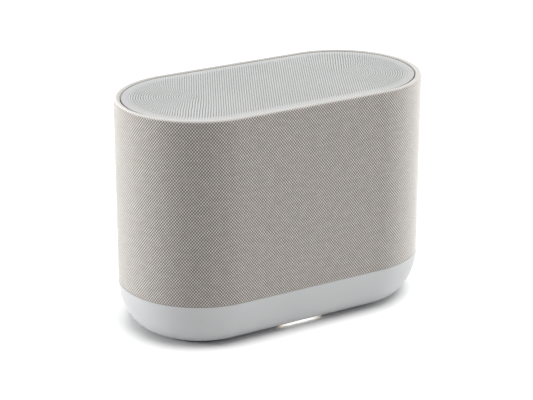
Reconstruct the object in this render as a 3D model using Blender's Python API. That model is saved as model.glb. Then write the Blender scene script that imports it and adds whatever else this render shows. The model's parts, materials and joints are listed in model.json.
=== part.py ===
"""A tabletop smart speaker: a fabric-wrapped racetrack body on a rounded plastic base.

Metres, +Z up. The origin is at the centre of the footprint, on the table. +X runs along the long side, the
front faces -Y and the sockets face +Y. Left and right are as seen from the front.
"""

import math

import bmesh
import bpy
from mathutils import Matrix, Vector

MM = 0.001

# --- Driving dimensions, in millimetres ---------------------------------------------------------------------
BODY_LENGTH = 300.0
BODY_DEPTH = 151.6
BODY_HEIGHT = 216.4
ARC_STEPS = 16  # facets on each half-round end
GAP = 0.3  # clearance between pieces that rest on each other

# Base
BASE_LIFT = 2.4  # table to the underside of the base
BASE_HEIGHT = 44.0  # table to the top of the base
BASE_WALL = 2.6
HULL_INSET = 23.1  # how far the base's rounded side pulls in at the bottom
HULL_RISE = 40.1
HULL_POWER = 1.764  # superellipse exponent of the rounding
HULL_STEPS = 8
BOTTOM_PLATE = 3.5
LEDGE_WIDTH = 9.0
LEDGE_THICK = 2.6
DECK_THICK = 3.0
DECK_LEDGE_WIDTH = 7.0
FOOT_SETBACK = 1.2  # foot behind the bottom plate's edge
FOOT_WIDTH = 14.0

# Fabric cover, its shell and the top
FABRIC = 0.8
RIM_WIDTH = 6.0  # folded fabric rim round the top panel
RIM_ROUND = 2.8
RIM_FOLD = 8.0  # depth of the fold inside the rim
SHELL_WALL = 2.2
SLOT_WIDTH = 9.0
SLOT_PITCH = 14.0
SLOT_MARGIN = 16.0  # solid band above and below the slots
PANEL_GAP = 0.7
PANEL_DROP = 1.1  # top panel below the fabric's crest
PANEL_THICK = 2.0
PANEL_SKIRT = 10.0
PANEL_BEVEL = 0.6
FRAME_FLANGE = 2.6
FRAME_WALL = 3.5

# Sealed cabinet
CABINET_INSET = 10.5
CABINET_WALL = 4.0
CABINET_HEADROOM = 25.4  # cabinet below the crest of the fabric
GASKET = 1.0
BAFFLE_SETBACK = 32.0  # front of the body to the front of the baffle
BAFFLE_THICK = 6.0

# Loudspeakers
WOOFER_R = 55.0
WOOFER_GAP = 14.0  # between the two woofers
WOOFER_LIFT = 3.7  # woofers above the cabinet's floor
WOOFER_EDGE = 12.0  # flange and surround outside the cone
WOOFER_NECK_STEP = 6.0  # flange outside the hole in the baffle
WOOFER_CONE_DEPTH = 20.0
WOOFER_BASKET = 34.0
WOOFER_FLANGE = 3.0
WOOFER_MAGNET_R = 32.0
WOOFER_MAGNET = 16.0
WOOFER_COIL_R = 12.5
COIL_HALF = 0.4  # half a woofer coil's wall
COIL_PLAY = 2.1  # coil to the magnet's bore
POLE_PLAY = 1.4  # coil to the magnet's pole
POLE_RISE = 5.0
MAGNET_BACK = 3.0
BASKET_WALL = 2.5
BASKET_FLOOR = 2.0
DUST_CAP_RISE = 6.0
DUST_CAP_STEP = 3.0
DUST_CAP_SHOULDER = 4.0
DUST_CAP_LEAN = 0.4
SURROUND_STEP = 0.3
SURROUND_WALL = 0.6
SURROUND_LIP = 1.5  # flange outside the surround
SPIDER_RIPPLE = 0.8
SPIDER_SEAT = 1.37  # spider inside the basket's wall
BASKET_EDGE = 1.0  # basket's floor inside the magnet's edge
WOOFER_TRAVEL = 4.0
CONE_WALL = 0.8
SURROUND_ROLL = 2.4
TWEETER_X = 104.0
TWEETER_DROP = 18.0  # tweeters below the cabinet's top
TWEETER_R = 15.0
TWEETER_DOME_R = 9.5
TWEETER_BODY = 14.0
TWEETER_FLANGE = 1.5
TWEETER_NECK_STEP = 2.0
TWEETER_SLOT = 1.2  # half the slot that the coil runs in
TWEETER_COIL_SETBACK = 0.5  # dome's edge to its coil
TWEETER_SLOT_BACK = 4.0
TWEETER_PLAY = 1.0  # dome to the mouth it sits in
TWEETER_COIL_BACK = 6.0
TWEETER_EDGE_LIFT = 0.4
TWEETER_EDGE_THICK = 0.5
TWEETER_SHOULDER = 0.6  # share of the coil's radius
TWEETER_SHOULDER_Z = 3.4
TWEETER_CROWN_Z = 4.2
COIL_THIN = 0.3  # half the wall of a small coil
SMALL_DRIVER_SIDES = 16
TOP_DRIVER_X = 74.0
TOP_DRIVER_R = 21.0
TOP_DRIVER_CONE_R = 15.0
TOP_DRIVER_BODY = 16.0
TOP_DRIVER_COIL_R = 6.5
TOP_DRIVER_FLANGE = 2.4
TOP_DRIVER_NECK_STEP = 2.0
TOP_DRIVER_POLE = 6.0
TOP_DRIVER_BACK = 2.0
TOP_DRIVER_SLOT = 1.0  # half the slot that the coil runs in
TOP_DRIVER_PLAY = 1.0  # cone to the frame
TOP_DRIVER_TAPER = 4.0
TOP_DRIVER_COIL_LIFT = 2.0
TOP_DRIVER_DEPTH = 3.5
TOP_DRIVER_CAP_RISE = 1.5
DRIVER_SIDES = 20

# Connector bay
BAY_WIDTH = 100.0
BAY_LOW = 14.0
BAY_HIGH = 33.0
BAY_DEPTH = 26.0  # back of the body to the bay's back wall
BAY_WALL = 2.0
INLET_X = 34.0
USB_X = 10.0
JACK_X = -6.0
BUTTON_X = -22.0
SWITCH_X = -38.0
INLET_WIDTH = 20.0
INLET_HEIGHT = 11.0
INLET_DEPTH = 15.0
INLET_WALL = 1.8
INLET_PIN_PITCH = 8.6
INLET_PIN_R = 1.15
SOCKET_LIP = 1.2
USB_WIDTH = 9.0
USB_HEIGHT = 3.3
USB_DEPTH = 8.0
USB_WALL = 0.4
JACK_R = 3.8
JACK_BORE_R = 1.8
JACK_DEPTH = 14.0
BUTTON_R = 3.2
BUTTON_PROUD = 1.2
BUTTON_TRAVEL = 0.8
SWITCH_WIDTH = 4.0
SWITCH_HEIGHT = 2.8
SWITCH_PROUD = 1.4
SWITCH_TRAVEL = 3.0
CUT_REACH = 9.0  # how far a cutter reaches to each side of the bay's back wall
PORT_SIDES = 14
BUTTON_EDGE = 0.4
BUTTON_COLLAR = 1.2
BUTTON_CONTACT = 4.0
SHOE_THICK = 2.0
SHOE_EDGE = 2.0
SWITCH_CONTACT = (14.0, 5.0)  # wide, deep
SOCKET_BOARD_MARGIN = 8.0
SOCKET_BOARD_DEPTH = 20.0
INLET_PIN_SHY = 2.0
JACK_FLOOR = 2.0

# Boards and what is on them
BOARD_THICK = 1.6
BOARD_DEPTH = 66.0
POWER_BOARD_LENGTH = 82.0
AMPLIFIER_BOARD_LENGTH = 76.0
BOARD_GAP_X = 18.0  # centre line to each base board's inner end
TRANSFORMER = (34.0, 30.0, 20.0)
CAPACITOR_R = 8.0
CAPACITOR_HEIGHT = 20.0
CAPACITOR_SIDES = 12
BOARD_CLEAR = 4.0
TRANSFORMER_SHIFT = 12.0
HEAT_SINK = (52.0, 44.0, 16.0)
HEAT_SINK_FINS = 6
MAIN_BOARD = (88.0, 84.0)
SHIELD_CAN = (34.0, 30.0, 3.0)
TOUCH_BOARD = (120.0, 26.0)
MICROPHONE_BOARD = (36.0, 14.0)
ANTENNA = (1.2, 34.0, 9.0)
ANTENNA_CLEAR = 4.0
STANDOFF = 5.0

# Status light
LIGHT_LENGTH = 46.0
LIGHT_REACH = 2.2  # lens in front of the foot
LIGHT_HEIGHT = 1.6
LIGHT_STEM = 1.2

# Screws
SCREW_R = 1.3
SCREW_HEAD_R = 2.6
SCREW_HEAD = 1.4
SCREW_SIDES = 6

# --- Sizes that follow from them ----------------------------------------------------------------------------
ARC_CENTRE_X = (BODY_LENGTH - BODY_DEPTH) / 2
END_RADIUS = BODY_DEPTH / 2
HULL_TOP_Z = BASE_LIFT + HULL_RISE
PLATE_TOP_Z = BASE_LIFT + BOTTOM_PLATE
LEDGE_Z = PLATE_TOP_Z + GAP
LEDGE_TOP_Z = LEDGE_Z + LEDGE_THICK
DECK_Z = BASE_HEIGHT - DECK_THICK
SEAM_Z = BASE_HEIGHT + GAP
FOOT_TOP_Z = BASE_LIFT - GAP
FOOT_INSET = HULL_INSET + GAP + FOOT_SETBACK
SCREW_INSET = HULL_INSET + LEDGE_WIDTH / 2
SHELL_INSET = FABRIC + GAP
SHELL_TOP_Z = BODY_HEIGHT - FABRIC - GAP
SHELL_RIM_INSET = RIM_WIDTH - FABRIC - GAP
PANEL_INSET = RIM_WIDTH + PANEL_GAP
PANEL_TOP_Z = BODY_HEIGHT - PANEL_DROP
PANEL_SKIRT_Z = PANEL_TOP_Z - PANEL_SKIRT
FRAME_TOP_Z = PANEL_SKIRT_Z - GAP
CABINET_Z = BASE_HEIGHT + GAP
BAFFLE_Y = -BODY_DEPTH / 2 + BAFFLE_SETBACK
WOOFER_X = WOOFER_R + WOOFER_GAP / 2
WOOFER_Z = CABINET_Z + CABINET_WALL + WOOFER_LIFT + WOOFER_R
WOOFER_CONE_R = WOOFER_R - WOOFER_EDGE
WOOFER_NECK_R = WOOFER_R - WOOFER_NECK_STEP
GASKET_Y = BAFFLE_Y + BAFFLE_THICK + GAP
CABINET_FRONT_Y = GASKET_Y + GASKET + GAP
BAY_BACK_Y = BODY_DEPTH / 2 - BAY_DEPTH
PORT_Z = (BAY_LOW + BAY_HIGH) / 2
BOARD_Z = LEDGE_TOP_Z + GAP + STANDOFF / 2
CABINET_TOP = BODY_HEIGHT - CABINET_HEADROOM
TWEETER_Z = CABINET_TOP - TWEETER_DROP
MAIN_BOARD_Z = CABINET_TOP + STANDOFF
TOUCH_BOARD_Z = PANEL_TOP_Z - PANEL_THICK - GAP - BOARD_THICK
LIGHT_FRONT_Y = -(END_RADIUS - FOOT_INSET) - LIGHT_REACH
SIDES = {"left": -1, "right": 1}

FACING_FRONT = (math.pi / 2, 0, 0)
FACING_BACK = (-math.pi / 2, 0, 0)
FACING_UP = (0, 0, 0)

PALETTE = {
    "woven_fabric": ((0.45, 0.42, 0.39), 0.95, 0.0),
    "pale_plastic": ((0.62, 0.62, 0.62), 0.5, 0.0),
    "dark_plastic": ((0.05, 0.055, 0.065), 0.6, 0.0),
    "inner_plastic": ((0.10, 0.10, 0.11), 0.65, 0.0),
    "rubber": ((0.05, 0.055, 0.065), 0.85, 0.0),
    "diffuser": ((0.95, 0.95, 0.92), 0.3, 0.0),
    "circuit_board": ((0.03, 0.12, 0.08), 0.5, 0.0),
    "steel": ((0.55, 0.55, 0.56), 0.35, 1.0),
    "ferrite": ((0.06, 0.06, 0.07), 0.5, 0.2),
    "paper": ((0.07, 0.07, 0.075), 0.9, 0.0),
    "silk": ((0.10, 0.10, 0.11), 0.8, 0.0),
    "foam": ((0.08, 0.08, 0.08), 1.0, 0.0),
    "aluminium": ((0.70, 0.71, 0.72), 0.4, 1.0),
}


# --- Modelling helpers, all in millimetres ------------------------------------------------------------------
def material(name):
    """One Principled material for each finish."""
    found = bpy.data.materials.get(name)
    if found:
        return found
    colour, roughness, metallic = PALETTE[name]
    made = bpy.data.materials.new(name)
    made.use_nodes = True
    shader = made.node_tree.nodes["Principled BSDF"]
    shader.inputs["Base Color"].default_value = (*colour, 1.0)
    shader.inputs["Roughness"].default_value = roughness
    shader.inputs["Metallic"].default_value = metallic
    made.diffuse_color = (*colour, 1.0)
    return made


def finish(bm, name, finish_name=None, at=(0, 0, 0), turn=FACING_UP, smooth=True):
    """Turns a bmesh into a named object in metres. Without a finish it is a cutter."""
    bmesh.ops.remove_doubles(bm, verts=bm.verts, dist=1e-4)
    bmesh.ops.recalc_face_normals(bm, faces=bm.faces)
    bmesh.ops.scale(bm, vec=(MM, MM, MM), verts=bm.verts)
    mesh = bpy.data.meshes.new(name)
    bm.to_mesh(mesh)
    bm.free()
    obj = bpy.data.objects.new(name, mesh)
    bpy.context.scene.collection.objects.link(obj)
    obj.location = Vector(at) * MM
    obj.rotation_euler = turn
    if not finish_name:
        obj.hide_render = True
        obj.display_type = "WIRE"
        return obj
    mesh.materials.append(material(finish_name))
    if smooth:
        mesh.shade_smooth()
        mesh.set_sharp_from_angle(angle=math.radians(35))
    return obj


def cut(target, cutter, operation="DIFFERENCE"):
    """Adds a Boolean and gives the target back."""
    modifier = target.modifiers.new(cutter.name, "BOOLEAN")
    modifier.operation = operation
    modifier.object = cutter
    modifier.solver = "EXACT"
    return target


def racetrack(inset):
    """The body's plan outline pulled in by inset, anticlockwise from the front right."""
    radius = END_RADIUS - inset
    points = []
    for side in (1, -1):
        for step in range(ARC_STEPS + 1):
            angle = -math.pi / 2 + math.pi * step / ARC_STEPS
            points.append((side * (ARC_CENTRE_X + radius * math.cos(angle)), side * radius * math.sin(angle)))
    return points


def racetrack_half_width(inset, y):
    """Half the outline's width at a given y."""
    return ARC_CENTRE_X + math.sqrt((END_RADIUS - inset) ** 2 - y**2)


def racetrack_skin(profile, closed):
    """Rings along the racetrack at each (inset, z) of the profile, joined in turn."""
    bm = bmesh.new()
    rings = [[bm.verts.new((x, y, z)) for x, y in racetrack(inset)] for inset, z in profile]
    for lower, upper in zip(rings, rings[1:] + rings[:1] if closed else rings[1:]):
        for here in range(len(lower)):
            after = (here + 1) % len(lower)
            bm.faces.new((lower[here], lower[after], upper[after], upper[here]))
    if not closed:
        bm.faces.new(rings[0])
        bm.faces.new(rings[-1])
    return bm


def racetrack_hoop(name, finish_name, profile):
    """A hoop with a closed cross-section."""
    return finish(racetrack_skin(profile, closed=True), name, finish_name)


def racetrack_solid(name, finish_name, profile):
    """A solid capped at both ends of its profile."""
    return finish(racetrack_skin(profile, closed=False), name, finish_name)


def band(inset_out, inset_in, low, high):
    """The rectangular cross-section of a plain hoop."""
    return [(inset_out, low), (inset_out, high), (inset_in, high), (inset_in, low)]


def turned(name, finish_name, profile, at, turn, sides=DRIVER_SIDES):
    """A lathe-turned solid from (radius, height) points, which end on the axis or close on themselves."""
    bm = bmesh.new()
    verts = [bm.verts.new((radius, 0, height)) for radius, height in profile]
    edges = [bm.edges.new(pair) for pair in zip(verts, verts[1:])]
    if profile[0][0] > 0:
        edges.append(bm.edges.new((verts[-1], verts[0])))
    bmesh.ops.spin(
        bm, geom=verts + edges, cent=(0, 0, 0), axis=(0, 0, 1), angle=2 * math.pi, steps=sides, use_merge=True
    )
    return finish(bm, name, finish_name, at, turn)


def boxes(name, finish_name, corners, at=(0, 0, 0)):
    """Separate boxes in one object, each from its low corner to its high corner."""
    bm = bmesh.new()
    for low, high in corners:
        low, high = Vector(low), Vector(high)
        place = Matrix.Translation((low + high) / 2) @ Matrix.Diagonal((*(high - low), 1))
        bmesh.ops.create_cube(bm, size=1, matrix=place)
    return finish(bm, name, finish_name, at, smooth=False)


def slab(name, finish_name, size, low_centre):
    """A box that stands on the given point."""
    (x, y, z), (length, depth, height) = low_centre, size
    low = (x - length / 2, y - depth / 2, z)
    return boxes(name, finish_name, [(low, (x + length / 2, y + depth / 2, z + height))])


def rods(name, finish_name, places, radius, length, direction=(0, 0, 1), sides=8):
    """Separate round bars that start at the given points."""
    bm = bmesh.new()
    turn = Vector((0, 0, 1)).rotation_difference(Vector(direction)).to_matrix().to_4x4()
    for place in places:
        middle = Matrix.Translation(Vector(place) + Vector(direction) * length / 2)
        bmesh.ops.create_cone(
            bm, cap_ends=True, segments=sides, radius1=radius, radius2=radius, depth=length, matrix=middle @ turn
        )
    return finish(bm, name, finish_name)


def screw(name, head_at, shank):
    """An upright pan-head screw, head down."""
    turned(name, "steel", [
        (0, 0), (SCREW_HEAD_R, 0), (SCREW_HEAD_R, SCREW_HEAD), (SCREW_R, SCREW_HEAD),
        (SCREW_R, SCREW_HEAD + shank), (0, SCREW_HEAD + shank),
    ], head_at, FACING_UP, SCREW_SIDES)


# --- Base ---------------------------------------------------------------------------------------------------
def hull_point(offset, turn):
    """A point of the base's rounding, offset inwards: turn 0 is its upright top, pi/2 its flat bottom."""
    power = 2 / HULL_POWER
    inset = HULL_INSET - (HULL_INSET - offset) * math.cos(turn) ** power
    return inset, HULL_TOP_Z - (HULL_RISE - offset) * math.sin(turn) ** power


def hull_curve(offset, lowest_z):
    """The rounding from lowest_z up to its upright top."""
    share = min(1.0, (HULL_TOP_Z - lowest_z) / (HULL_RISE - offset))
    start = math.asin(share ** (HULL_POWER / 2))
    return [hull_point(offset, start * (1 - step / HULL_STEPS)) for step in range(HULL_STEPS + 1)]


def bay_box(name, finish_name, grow, low_y):
    """A box of the connector bay's opening, grown by some margin and running out through the back."""
    half = BAY_WIDTH / 2 + grow
    low = (-half, low_y, BAY_LOW - grow)
    return boxes(name, finish_name, [(low, (half, BODY_DEPTH, BAY_HIGH + grow))])


def base():
    """Rounded shell, bottom plate, deck, foot and bottom screws."""
    outer = hull_curve(0, BASE_LIFT)
    ledge_in = HULL_INSET + LEDGE_WIDTH
    deck_ledge_in = BASE_WALL + DECK_LEDGE_WIDTH
    deck_ledge_z = DECK_Z - GAP - LEDGE_THICK
    inner = [point for point in hull_curve(BASE_WALL, LEDGE_TOP_Z) if point[1] < deck_ledge_z - 1]
    cover = racetrack_hoop("base_cover", "pale_plastic", [
        (HULL_INSET, LEDGE_Z), *outer, (0, BASE_HEIGHT), (BASE_WALL, BASE_HEIGHT),
        (BASE_WALL, DECK_Z - GAP), (deck_ledge_in, DECK_Z - GAP), (deck_ledge_in, deck_ledge_z),
        (inner[-1][0], deck_ledge_z), *reversed(inner), (ledge_in, LEDGE_TOP_Z), (ledge_in, LEDGE_Z),
    ])
    head_z = BASE_LIFT + GAP
    reach = END_RADIUS - SCREW_INSET
    places = [(sx * ARC_CENTRE_X, sy * reach, head_z) for sx in (-1, 1) for sy in (-1, 1)]
    shank = LEDGE_TOP_Z - head_z - SCREW_HEAD
    holes = rods("screw_holes", None, places, SCREW_R + GAP, 2 * LEDGE_TOP_Z)
    cut(cover, bay_box("bay_opening", None, 0, 0))
    cut(cover, holes)

    plate_inset = HULL_INSET + GAP
    plate_wall = [(plate_inset, BASE_LIFT), (plate_inset, PLATE_TOP_Z)]
    plate = racetrack_solid("bottom_plate", "dark_plastic", plate_wall)
    cut(plate, holes)
    sinks = [(x, y, 0) for x, y, _ in places]
    cut(plate, rods("screw_sinks", None, sinks, SCREW_HEAD_R + GAP, head_z + SCREW_HEAD + GAP))
    for number, place in enumerate(places, 1):
        screw(f"bottom_screw_{number}", place, shank)

    deck_inset = BASE_WALL + GAP
    racetrack_solid("cabinet_deck", "inner_plastic", [(deck_inset, DECK_Z), (deck_inset, BASE_HEIGHT)])

    foot = racetrack_hoop("foot_ring", "rubber", band(FOOT_INSET, FOOT_INSET + FOOT_WIDTH, 0, FOOT_TOP_Z))
    return cover, plate, foot


def status_light(cover, plate, foot):
    """A lens under the base's front edge, lit through a stem by a board inside."""
    half = LIGHT_LENGTH / 2
    stem_half = half - 4
    stem_y = -(END_RADIUS - HULL_INSET - GAP) + GAP
    lens_back = stem_y + LIGHT_STEM
    bm = bmesh.new()
    front = [(half * math.sin(turn), lens_back + (LIGHT_FRONT_Y - lens_back) * math.cos(turn))
             for turn in [math.pi / 2 * step / 6 for step in range(-6, 7)]]
    low_z = FOOT_TOP_Z - LIGHT_HEIGHT
    face = bm.faces.new([bm.verts.new((x, y, low_z)) for x, y in front])
    moved = bmesh.ops.extrude_face_region(bm, geom=[face])["geom"]
    lifted = [item for item in moved if isinstance(item, bmesh.types.BMVert)]
    bmesh.ops.translate(bm, vec=(0, 0, LIGHT_HEIGHT), verts=lifted)
    pipe = finish(bm, "light_pipe", "diffuser", smooth=False)
    stem = ((-stem_half, stem_y, low_z + LIGHT_HEIGHT / 2), (stem_half, lens_back - GAP / 3, LEDGE_TOP_Z))
    cut(pipe, boxes("light_stem", None, [stem]), "UNION")

    clear_half, clear_back = half + GAP, lens_back + GAP
    slot_low = (-stem_half - GAP, stem_y - GAP, BASE_LIFT - 1)
    slot = boxes("stem_slot", None, [(slot_low, (stem_half + GAP, clear_back, LEDGE_TOP_Z + 1))])
    cut(cover, slot)
    cut(plate, slot)
    notch = ((-clear_half, LIGHT_FRONT_Y - 1, -1), (clear_half, clear_back, BASE_LIFT))
    cut(foot, boxes("foot_notch", None, [notch]))
    board_low = (-stem_half, stem_y - GAP, LEDGE_TOP_Z + GAP)
    board_high = (stem_half, stem_y + LEDGE_WIDTH / 2, LEDGE_TOP_Z + GAP + BOARD_THICK)
    boxes("light_board", "circuit_board", [(board_low, board_high)])


# --- Connector bay ------------------------------------------------------------------------------------------
def connector_bay():
    """A recessed tray in the back of the base, with its sockets, button and switch."""
    panel = bay_box("connector_panel", "dark_plastic", BAY_WALL, BAY_BACK_Y - BAY_WALL)
    cut(panel, bay_box("bay_hollow", None, 0, BAY_BACK_Y))
    inside = hull_curve(BASE_WALL + GAP, LEDGE_TOP_Z)
    cut(panel, racetrack_solid("hull_inside", None, [*inside, (inside[-1][0], BASE_HEIGHT)]), "INTERSECT")

    power_inlet(panel)
    usb_port(panel)
    audio_jack(panel)
    pairing_button(panel)
    mute_switch(panel)
    board_z = PORT_Z - max(JACK_R, SWITCH_HEIGHT) - 4 * GAP - BOARD_THICK
    board = ((SWITCH_X - SOCKET_BOARD_MARGIN, BAY_BACK_Y - SOCKET_BOARD_DEPTH, board_z),
             (USB_X + SOCKET_BOARD_MARGIN, BAY_BACK_Y - BAY_WALL - GAP, board_z + BOARD_THICK))
    boxes("connector_board", "circuit_board", [board])


def around(x, width, height, low_y, high_y, margin=0.0):
    """The corners of a box centred on a socket's axis."""
    half_width, half_height = width / 2 + margin, height / 2 + margin
    return (x - half_width, low_y, PORT_Z - half_height), (x + half_width, high_y, PORT_Z + half_height)


def power_inlet(panel):
    """A two-pin mains inlet."""
    back, front = BAY_BACK_Y - INLET_DEPTH, BAY_BACK_Y + GAP + SOCKET_LIP
    size = (INLET_X, INLET_WIDTH, INLET_HEIGHT)
    cutout = around(*size, BAY_BACK_Y - CUT_REACH, BAY_BACK_Y + CUT_REACH, GAP)
    cut(panel, boxes("inlet_cutout", None, [cutout]))
    inlet = boxes("power_inlet", "dark_plastic", [around(*size, back, front)])
    cut(inlet, boxes("inlet_lip", None, [around(*size, BAY_BACK_Y + GAP, front, SOCKET_LIP)]), "UNION")
    hollow = around(*size, back + INLET_WALL, front + 1, -INLET_WALL)
    cut(inlet, boxes("inlet_hollow", None, [hollow]))
    pin_length = INLET_DEPTH - INLET_WALL - INLET_PIN_SHY
    for side, sign in SIDES.items():
        start = (INLET_X + sign * INLET_PIN_PITCH / 2, back + INLET_WALL + GAP, PORT_Z)
        rods(f"inlet_pin_{side}", "steel", [start], INLET_PIN_R, pin_length, (0, 1, 0))


def usb_port(panel):
    """A small metal socket with its tongue."""
    back, front = BAY_BACK_Y - USB_DEPTH, BAY_BACK_Y + GAP
    size = (USB_X, USB_WIDTH, USB_HEIGHT)
    cutout = around(*size, BAY_BACK_Y - CUT_REACH, BAY_BACK_Y + CUT_REACH, GAP)
    cut(panel, boxes("usb_cutout", None, [cutout]))
    port = boxes("usb_port", "steel", [around(*size, back, front)])
    cut(port, boxes("usb_hollow", None, [around(*size, back + USB_WALL, front + 1, -USB_WALL)]))
    tongue_width, tongue_height = USB_WIDTH - 6 * USB_WALL, USB_HEIGHT / 4
    tongue = around(USB_X, tongue_width, tongue_height, back + USB_WALL / 2, front - USB_WALL)
    cut(port, boxes("usb_tongue", None, [tongue]), "UNION")


def audio_jack(panel):
    """A round socket for a small plug."""
    start = (JACK_X, BAY_BACK_Y - CUT_REACH, PORT_Z)
    cut(panel, rods("jack_cutout", None, [start], JACK_R + GAP, 2 * CUT_REACH, (0, 1, 0), PORT_SIDES))
    turned("audio_jack", "dark_plastic", [
        (JACK_BORE_R, SOCKET_LIP / 2), (JACK_R, SOCKET_LIP / 2), (JACK_R, -JACK_DEPTH), (0, -JACK_DEPTH),
        (0, JACK_FLOOR - JACK_DEPTH), (JACK_BORE_R, JACK_FLOOR - JACK_DEPTH),
    ], (JACK_X, BAY_BACK_Y, PORT_Z), FACING_BACK, sides=PORT_SIDES)


def pairing_button(panel):
    """A round push button kept in by its collar, over a small switch."""
    start = (BUTTON_X, BAY_BACK_Y - CUT_REACH, PORT_Z)
    cut(panel, rods("button_cutout", None, [start], BUTTON_R + GAP, 2 * CUT_REACH, (0, 1, 0), PORT_SIDES))
    collar_r, collar_z = BUTTON_R + BUTTON_COLLAR, -BAY_WALL - GAP
    back_z = collar_z - BUTTON_TRAVEL
    turned("pairing_button", "pale_plastic", [
        (0, BUTTON_PROUD), (BUTTON_R - BUTTON_EDGE, BUTTON_PROUD), (BUTTON_R, BUTTON_PROUD - BUTTON_EDGE),
        (BUTTON_R, collar_z), (collar_r, collar_z), (collar_r, back_z), (0, back_z),
    ], (BUTTON_X, BAY_BACK_Y, PORT_Z), FACING_BACK, sides=PORT_SIDES)
    high_y = BAY_BACK_Y + back_z - BUTTON_TRAVEL - GAP
    contact = around(BUTTON_X, 2 * BUTTON_R, 2 * BUTTON_R, high_y - BUTTON_CONTACT, high_y)
    boxes("pairing_contact", "inner_plastic", [contact])


def mute_switch(panel):
    """A sliding knob, at rest at its -X stop, in front of its contact block."""
    half_travel = SWITCH_TRAVEL / 2
    slot_width = SWITCH_WIDTH + SWITCH_TRAVEL
    low_y, high_y = BAY_BACK_Y - CUT_REACH, BAY_BACK_Y + CUT_REACH
    slot = around(SWITCH_X + half_travel, slot_width, SWITCH_HEIGHT, low_y, high_y, GAP)
    cut(panel, boxes("switch_slot", None, [slot]))
    shoe_front = BAY_BACK_Y - BAY_WALL - GAP
    knob = around(0, SWITCH_WIDTH, SWITCH_HEIGHT, shoe_front - SHOE_THICK / 2, BAY_BACK_Y + SWITCH_PROUD)
    shoe_height = SWITCH_HEIGHT + SHOE_EDGE
    shoe = around(0, SWITCH_WIDTH + 2 * SHOE_EDGE, shoe_height, shoe_front - SHOE_THICK, shoe_front)
    slider = boxes("mute_switch", "pale_plastic", [knob], at=(SWITCH_X, 0, 0))
    cut(slider, boxes("switch_shoe", None, [shoe], at=(SWITCH_X, 0, 0)), "UNION")
    high_y = shoe_front - SHOE_THICK - GAP
    contact = around(SWITCH_X + half_travel, SWITCH_CONTACT[0], shoe_height, high_y - SWITCH_CONTACT[1], high_y)
    boxes("mute_contact", "inner_plastic", [contact])


# --- Fabric cover and top -----------------------------------------------------------------------------------
def rim_round(inset, top_z, radius, steps=3):
    """A quarter round from the upright wall at inset to the flat top."""
    turns = [math.pi / 2 * step / steps for step in range(steps + 1)]
    return [(inset + radius * (1 - math.cos(turn)), top_z - radius * (1 - math.sin(turn))) for turn in turns]


def cover():
    """The fabric sleeve, pulled over a slotted shell and folded in over its rim."""
    fold_z = BODY_HEIGHT - RIM_FOLD
    inner_round = RIM_ROUND - FABRIC
    fold_round = [(RIM_WIDTH - 0.6, BODY_HEIGHT), (RIM_WIDTH, BODY_HEIGHT - 0.6)]
    racetrack_hoop("fabric_sleeve", "woven_fabric", [
        (0, SEAM_Z), *rim_round(0, BODY_HEIGHT, RIM_ROUND), *fold_round, (RIM_WIDTH, fold_z),
        (RIM_WIDTH - FABRIC, fold_z), (RIM_WIDTH - FABRIC, BODY_HEIGHT - FABRIC),
        *reversed(rim_round(FABRIC, BODY_HEIGHT - FABRIC, inner_round)), (FABRIC, SEAM_Z),
    ])
    shell = racetrack_hoop("grille_shell", "inner_plastic", [
        (SHELL_INSET, SEAM_Z), *rim_round(SHELL_INSET, SHELL_TOP_Z, RIM_ROUND - FABRIC - GAP),
        (SHELL_RIM_INSET, SHELL_TOP_Z), (SHELL_RIM_INSET, SHELL_TOP_Z - SHELL_WALL),
        (SHELL_INSET + SHELL_WALL, SHELL_TOP_Z - SHELL_WALL), (SHELL_INSET + SHELL_WALL, SEAM_Z),
    ])
    low_z, high_z = SEAM_Z + SLOT_MARGIN, SHELL_TOP_Z - SLOT_MARGIN
    across = int((ARC_CENTRE_X - SLOT_WIDTH) / SLOT_PITCH)
    front_slots = [(place * SLOT_PITCH, SLOT_WIDTH / 2) for place in range(-across, across + 1)]
    along = int((END_RADIUS * 0.6) / SLOT_PITCH)
    end_slots = [(place * SLOT_PITCH, SLOT_WIDTH / 2) for place in range(-along, along + 1)]
    corners = [((x - half, -BODY_DEPTH, low_z), (x + half, BODY_DEPTH, high_z)) for x, half in front_slots]
    cut(shell, boxes("front_slots", None, corners))
    corners = [((-BODY_LENGTH, y - half, low_z), (BODY_LENGTH, y + half, high_z)) for y, half in end_slots]
    cut(shell, boxes("end_slots", None, corners))


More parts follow.
